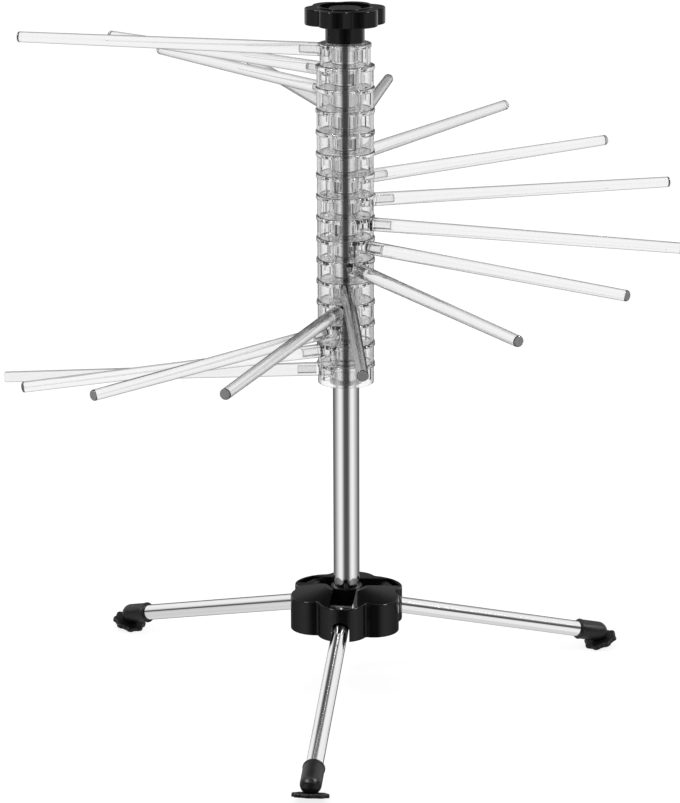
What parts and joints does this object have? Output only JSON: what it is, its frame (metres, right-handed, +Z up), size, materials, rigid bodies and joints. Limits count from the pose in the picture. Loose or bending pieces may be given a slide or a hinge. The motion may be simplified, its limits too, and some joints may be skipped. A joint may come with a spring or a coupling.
{
  "type": "pasta drying rack",
  "caption": "Free-standing pasta drying rack: steel pole on a folding tripod, clear arms fanned in a spiral on stacked rings, and a lobed clamping knob on top.",
  "frame": {"origin": "on the floor, on the pole's axis", "axes": "+Z up along the pole; the picture is taken from the -Y side, with +X to its right"},
  "size_m": [0.404, 0.4092, 0.426],
  "materials": {
    "pole_steel": "polished",
    "leg_steel": "polished",
    "pin_steel": "polished",
    "fastener_steel": "zinc plated",
    "ring_clear": "clear moulded",
    "rod_clear": "clear moulded",
    "knob_black": "glossy",
    "hub_black": "glossy",
    "knuckle_black": "moulded",
    "foot_rubber": "matt"
  },
  "bodies": {
    "stand": {"pole_tube": "pole_steel", "top_nut": "fastener_steel", "bottom_plug": "fastener_steel", "stop_collar": "fastener_steel", "clamp_washer": "fastener_steel", "tripod_hub": "hub_black", "base_screw": "fastener_steel", "screw_washer": "fastener_steel", "hinge_pin_front": "pin_steel", "hinge_pin_right": "pin_steel", "hinge_pin_left": "pin_steel"},
    "knob": {"knob_body": "knob_black", "knob_badge": "knob_black", "knob_stud": "fastener_steel"},
    "arm_01": {"arm_ring_01": "ring_clear", "arm_rod_01": "rod_clear"},
    "arm_02": {"arm_ring_02": "ring_clear", "arm_rod_02": "rod_clear"},
    "arm_03": {"arm_ring_03": "ring_clear", "arm_rod_03": "rod_clear"},
    "arm_04": {"arm_ring_04": "ring_clear", "arm_rod_04": "rod_clear"},
    "arm_05": {"arm_ring_05": "ring_clear", "arm_rod_05": "rod_clear"},
    "arm_06": {"arm_ring_06": "ring_clear", "arm_rod_06": "rod_clear"},
    "arm_07": {"arm_ring_07": "ring_clear", "arm_rod_07": "rod_clear"},
    "arm_08": {"arm_ring_08": "ring_clear", "arm_rod_08": "rod_clear"},
    "arm_09": {"arm_ring_09": "ring_clear", "arm_rod_09": "rod_clear"},
    "arm_10": {"arm_ring_10": "ring_clear", "arm_rod_10": "rod_clear"},
    "arm_11": {"arm_ring_11": "ring_clear", "arm_rod_11": "rod_clear"},
    "arm_12": {"arm_ring_12": "ring_clear", "arm_rod_12": "rod_clear"},
    "arm_13": {"arm_ring_13": "ring_clear", "arm_rod_13": "rod_clear"},
    "arm_14": {"arm_ring_14": "ring_clear", "arm_rod_14": "rod_clear"},
    "arm_15": {"arm_ring_15": "ring_clear", "arm_rod_15": "rod_clear"},
    "arm_16": {"arm_ring_16": "ring_clear", "arm_rod_16": "rod_clear"},
    "leg_front": {"leg_tube_front": "leg_steel", "leg_knuckle_front": "knuckle_black", "foot_cap_front": "foot_rubber", "foot_pad_front": "foot_rubber"},
    "leg_right": {"leg_tube_right": "leg_steel", "leg_knuckle_right": "knuckle_black", "foot_cap_right": "foot_rubber", "foot_pad_right": "foot_rubber"},
    "leg_left": {"leg_tube_left": "leg_steel", "leg_knuckle_left": "knuckle_black", "foot_cap_left": "foot_rubber", "foot_pad_left": "foot_rubber"}
  },
  "joints": [
    {"name": "knob_turn", "type": "hinge", "parent": "stand", "child": "knob", "pos_m": [0, 0, 0.41], "axis": [0, 0, 1], "range_deg": [0, 360]},
    {"name": "arm_stack_turn", "type": "hinge", "parent": "stand", "child": "arm_16", "pos_m": [0, 0, 0.2], "axis": [0, 0, 1], "continuous": true},
    {"name": "fan_fold", "type": "hinge", "parent": "arm_16", "child": "arm_01", "pos_m": [0, 0, 0.2], "axis": [0, 0, -1], "range_deg": [0, 339.5]},
    {"name": "arm_02_fold", "type": "hinge", "parent": "arm_16", "child": "arm_02", "pos_m": [0, 0, 0.2], "axis": [0, 0, -1], "range_deg": [0, 311.5]},
    {"name": "arm_03_fold", "type": "hinge", "parent": "arm_16", "child": "arm_03", "pos_m": [0, 0, 0.2], "axis": [0, 0, -1], "range_deg": [0, 300.5]},
    {"name": "arm_04_fold", "type": "hinge", "parent": "arm_16", "child": "arm_04", "pos_m": [0, 0, 0.2], "axis": [0, 0, -1], "range_deg": [0, 282.5]},
    {"name": "arm_05_fold", "type": "hinge", "parent": "arm_16", "child": "arm_05", "pos_m": [0, 0, 0.2], "axis": [0, 0, -1], "range_deg": [0, 257]},
    {"name": "arm_06_fold", "type": "hinge", "parent": "arm_16", "child": "arm_06", "pos_m": [0, 0, 0.2], "axis": [0, 0, -1], "range_deg": [0, 234.5]},
    {"name": "arm_07_fold", "type": "hinge", "parent": "arm_16", "child": "arm_07", "pos_m": [0, 0, 0.2], "axis": [0, 0, -1], "range_deg": [0, 211.5]},
    {"name": "arm_08_fold", "type": "hinge", "parent": "arm_16", "child": "arm_08", "pos_m": [0, 0, 0.2], "axis": [0, 0, -1], "range_deg": [0, 190]},
    {"name": "arm_09_fold", "type": "hinge", "parent": "arm_16", "child": "arm_09", "pos_m": [0, 0, 0.2], "axis": [0, 0, -1], "range_deg": [0, 154.5]},
    {"name": "arm_10_fold", "type": "hinge", "parent": "arm_16", "child": "arm_10", "pos_m": [0, 0, 0.2], "axis": [0, 0, -1], "range_deg": [0, 134.5]},
    {"name": "arm_11_fold", "type": "hinge", "parent": "arm_16", "child": "arm_11", "pos_m": [0, 0, 0.2], "axis": [0, 0, -1], "range_deg": [0, 112]},
    {"name": "arm_12_fold", "type": "hinge", "parent": "arm_16", "child": "arm_12", "pos_m": [0, 0, 0.2], "axis": [0, 0, -1], "range_deg": [0, 87.5]},
    {"name": "arm_13_fold", "type": "hinge", "parent": "arm_16", "child": "arm_13", "pos_m": [0, 0, 0.2], "axis": [0, 0, -1], "range_deg": [0, 66.5]},
    {"name": "arm_14_fold", "type": "hinge", "parent": "arm_16", "child": "arm_14", "pos_m": [0, 0, 0.2], "axis": [0, 0, -1], "range_deg": [0, 42]},
    {"name": "arm_15_fold", "type": "hinge", "parent": "arm_16", "child": "arm_15", "pos_m": [0, 0, 0.2], "axis": [0, 0, -1], "range_deg": [0, 20]},
    {"name": "leg_front_fold", "type": "hinge", "parent": "stand", "child": "leg_front", "pos_m": [-0.00329, -0.02801, 0.05915], "axis": [0.9932, -0.1167, 0], "range_deg": [0, 74.5]},
    {"name": "leg_right_fold", "type": "hinge", "parent": "stand", "child": "leg_right", "pos_m": [0.0259, 0.01115, 0.05915], "axis": [-0.3955, 0.9184, 0], "range_deg": [0, 74.5]},
    {"name": "leg_left_fold", "type": "hinge", "parent": "stand", "child": "leg_left", "pos_m": [-0.02261, 0.01685, 0.05915], "axis": [-0.5976, -0.8018, 0], "range_deg": [0, 74.5]}
  ],
  "couplings": [
    {"joint": "arm_02_fold", "follows": "fan_fold", "ratio": 0.91753},
    {"joint": "arm_03_fold", "follows": "fan_fold", "ratio": 0.88513},
    {"joint": "arm_04_fold", "follows": "fan_fold", "ratio": 0.83211},
    {"joint": "arm_05_fold", "follows": "fan_fold", "ratio": 0.757},
    {"joint": "arm_06_fold", "follows": "fan_fold", "ratio": 0.69072},
    {"joint": "arm_07_fold", "follows": "fan_fold", "ratio": 0.62297},
    {"joint": "arm_08_fold", "follows": "fan_fold", "ratio": 0.55965},
    {"joint": "arm_09_fold", "follows": "fan_fold", "ratio": 0.45508},
    {"joint": "arm_10_fold", "follows": "fan_fold", "ratio": 0.39617},
    {"joint": "arm_11_fold", "follows": "fan_fold", "ratio": 0.3299},
    {"joint": "arm_12_fold", "follows": "fan_fold", "ratio": 0.25773},
    {"joint": "arm_13_fold", "follows": "fan_fold", "ratio": 0.19588},
    {"joint": "arm_14_fold", "follows": "fan_fold", "ratio": 0.12371},
    {"joint": "arm_15_fold", "follows": "fan_fold", "ratio": 0.05891}
  ]
}
